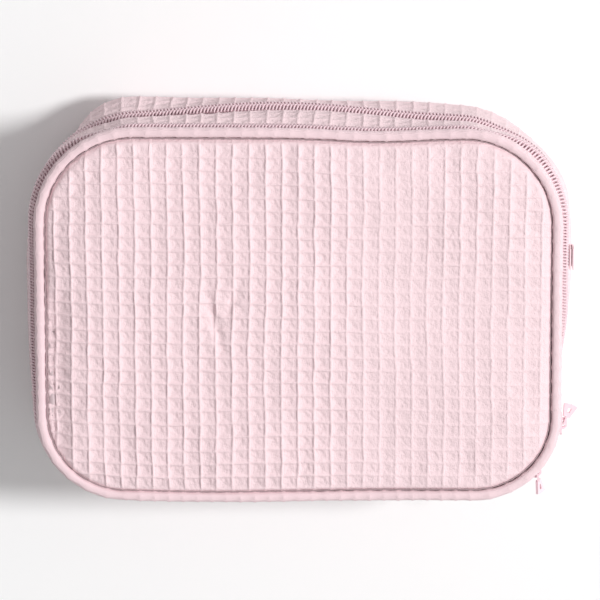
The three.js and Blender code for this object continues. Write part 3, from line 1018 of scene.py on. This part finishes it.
def softened(node, material, body, slot, width):
    """A copy of a CAD node with its sharp edges rounded."""
    source = frame["nodes"][node]
    obj = bpy.data.objects.new(node + "_rounded", source.data.copy())
    bpy.context.scene.collection.objects.link(obj)
    obj.matrix_world = source.matrix_world.copy()
    bevel = obj.modifiers.new("edges", "BEVEL")
    bevel.width = width * MM / max(obj.scale)
    bevel.segments = 3
    bevel.limit_method = "ANGLE"
    bevel.angle_limit = math.radians(35)
    finish_mesh(obj)
    for polygon in obj.data.polygons:
        polygon.use_smooth = True
    return piece(obj, material, body, slot, node)


def add_hardware():
    """The sliders and their pulls."""
    for body in ("rear_slider", "front_slider"):
        softened(body + "_body", painted_zinc, body, "painted_zinc", 0.22)
    for body in ("rear_pull", "front_pull"):
        softened(body + "_tab", painted_zinc, body, "painted_zinc", 0.35)


def add_side_loop():
    """The small loop sewn into the right side, moved out with the wall that carries it."""
    loop = softened("side_loop", piping_cotton, "rear_shell", "plain_cotton", 0.4)
    low, high = node_box("side_loop")
    y, z = (low[1] + high[1]) / 2, (low[2] + high[2]) / 2
    t = BREAKS[6] + REAR["half_y"] - REAR["top"] - y
    loop.location.x += wall_swell(np.array([t]), z)[0] * MM


# ---------------------------------------------------------------- carried-over CAD nodes

CAD_MATERIALS = {
    "lining_cloth": lining_cloth,
    "foam_sheet": foam_material,
    "binding_tape": binding_cloth,
    "plain_cotton": piping_cotton,
    "painted_zinc": painted_zinc,
    "zip_tape": tape_cloth,
    "zip_coil": coil_nylon,
    "waffle_cotton": waffle_cotton,
}


def dress_cad_nodes():
    """Gives every CAD node that may still be shown the material of its slot."""
    for part in frame["record"]["subparts"]:
        node = frame["nodes"][part["node"]]
        node.data.materials.clear()
        node.data.materials.append(CAD_MATERIALS[part["material_slot"]])


# ---------------------------------------------------------------- stage, lights and camera


FLOOR_HALF = 3000.0
FLOOR_Z = -0.2  # just clear of the cloth that lies on it
KEY_AZIMUTH = math.radians(17)  # from +X towards +Y
KEY_ELEVATION = math.radians(50)
KEY_DISTANCE = 4.0  # metres, like the key light's size and aim
KEY_SIZE = 0.7
KEY_POWER = 117.0
KEY_AIM = (0.0, 0.0, 0.05)
WORLD_LEVEL = 0.28  # the surround's strength at the horizon, beside the bag
WORLD_RIGHT = 0.23  # how much brighter it is on the right
WORLD_ABOVE = 0.30  # and overhead
CAMERA_TILT = math.radians(14.0)  # towards the bag's top edge
CAMERA_SIDE = math.radians(1.0)  # towards +X
CAMERA_DISTANCE = 2.6
CAMERA_RIGHT = 0.001  # the aim, from the middle of the front panel
CAMERA_UP = 0.0085
FRAME_WIDTH = 0.2975  # seen at the front panel's height


def add_floor():
    """A plain pale floor."""
    n = Nodes("floor_white", (0.93, 0.93, 0.93), 0.9)
    half, z = FLOOR_HALF, FLOOR_Z
    corners = [(-half, -half, z), (half, -half, z), (half, half, z), (-half, half, z)]
    floor = mesh_object("floor", corners, [(0, 1, 2, 3)])
    floor.data.materials.append(n.material)


def add_key_light():
    """A soft light from above the bag's right side."""
    data = bpy.data.lights.new("key", "AREA")
    data.shape = "DISK"
    data.size = KEY_SIZE
    data.energy = KEY_POWER
    light = bpy.data.objects.new("key", data)
    level = math.cos(KEY_ELEVATION)
    towards = (
        level * math.cos(KEY_AZIMUTH),
        level * math.sin(KEY_AZIMUTH),
        math.sin(KEY_ELEVATION),
    )
    light.location = Vector(towards) * KEY_DISTANCE
    light.rotation_mode = "QUATERNION"
    aim = Vector(KEY_AIM) - light.location
    light.rotation_quaternion = aim.to_track_quat("-Z", "Y")
    bpy.context.scene.collection.objects.link(light)


def add_world():
    """A soft white surround, brighter on the right and overhead."""
    world = bpy.data.worlds.new("studio")
    world.use_nodes = True
    nodes, links = world.node_tree.nodes, world.node_tree.links
    where = nodes.new("ShaderNodeTexCoord")
    split = nodes.new("ShaderNodeSeparateXYZ")
    links.new(where.outputs["Generated"], split.inputs[0])
    right = nodes.new("ShaderNodeMath")
    above = nodes.new("ShaderNodeMath")
    for term, axis, slope in ((right, "X", WORLD_RIGHT), (above, "Z", WORLD_ABOVE)):
        term.operation = "MULTIPLY_ADD"
        links.new(split.outputs[axis], term.inputs[0])
        term.inputs[1].default_value = slope
    right.inputs[2].default_value = WORLD_LEVEL
    links.new(right.outputs[0], above.inputs[2])
    links.new(above.outputs[0], nodes["Background"].inputs["Strength"])
    nodes["Background"].inputs["Color"].default_value = (1, 1, 1, 1)
    bpy.context.scene.world = world


def add_camera():
    """A long lens over the bag, leaning towards its top edge."""
    data = bpy.data.cameras.new("camera")
    data.sensor_width = 36.0
    data.lens = data.sensor_width * CAMERA_DISTANCE / FRAME_WIDTH
    data.clip_start = 0.1
    data.clip_end = 20.0
    camera = bpy.data.objects.new("camera", data)
    towards = Vector(
        (
            math.sin(CAMERA_SIDE),
            math.sin(CAMERA_TILT) * math.cos(CAMERA_SIDE),
            math.cos(CAMERA_TILT) * math.cos(CAMERA_SIDE),
        )
    )
    right = Vector((0, 1, 0)).cross(towards).normalized()
    up = towards.cross(right)
    target = Vector((0.0, 0.0, PANEL_TOP * MM)) + right * CAMERA_RIGHT + up * CAMERA_UP
    rotation = Matrix((right, up, towards)).transposed().to_4x4()
    camera.matrix_world = Matrix.Translation(target + towards * CAMERA_DISTANCE) @ rotation
    bpy.context.scene.collection.objects.link(camera)
    bpy.context.scene.camera = camera


# ---------------------------------------------------------------- the whole model

add_panels()
add_gussets()
add_bottom_strips()
add_piping()
add_zips()
add_linings()
add_bindings()
add_hardware()
add_side_loop()
dress_cad_nodes()
add_floor()
add_world()
add_key_light()
add_camera()
bpy.context.scene.view_settings.view_transform = "Standard"
